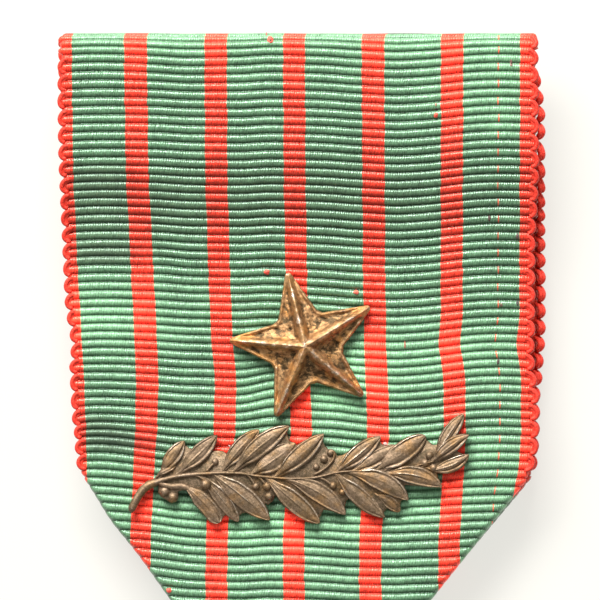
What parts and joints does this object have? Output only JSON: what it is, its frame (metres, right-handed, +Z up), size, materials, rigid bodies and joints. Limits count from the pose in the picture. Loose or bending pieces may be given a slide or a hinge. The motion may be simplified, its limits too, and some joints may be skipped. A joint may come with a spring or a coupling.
{
  "type": "military cross medal on a ribbon",
  "caption": "Bronze cross pattée with crossed swords, hung by a ring from a striped ribbed ribbon that carries a star and a palm branch, with a pin bar behind its top.",
  "frame": {"origin": "on the surface that the medal lies on, under the middle of its bounding box", "axes": "+Z up out of the medal's face, +Y along the ribbon towards its top, +X to the right seen from the front"},
  "size_m": [0.0374, 0.1022, 0.0064],
  "materials": {
    "ribbon_silk": "ribbed silk, green with narrow red stripes",
    "star_bronze": "aged golden bronze, dark in its pits",
    "palm_bronze": "brown patinated bronze, worn bright along its edges",
    "ring_bronze": "brown patinated bronze wire",
    "cross_bronze": "brown patinated cast bronze",
    "pin_steel": "dull plain metal"
  },
  "bodies": {
    "root": {"ribbon": "ribbon_silk", "star": "star_bronze", "palm": "palm_bronze", "ring": "ring_bronze", "cross": "cross_bronze", "brooch_pin": "pin_steel"}
  },
  "joints": []
}
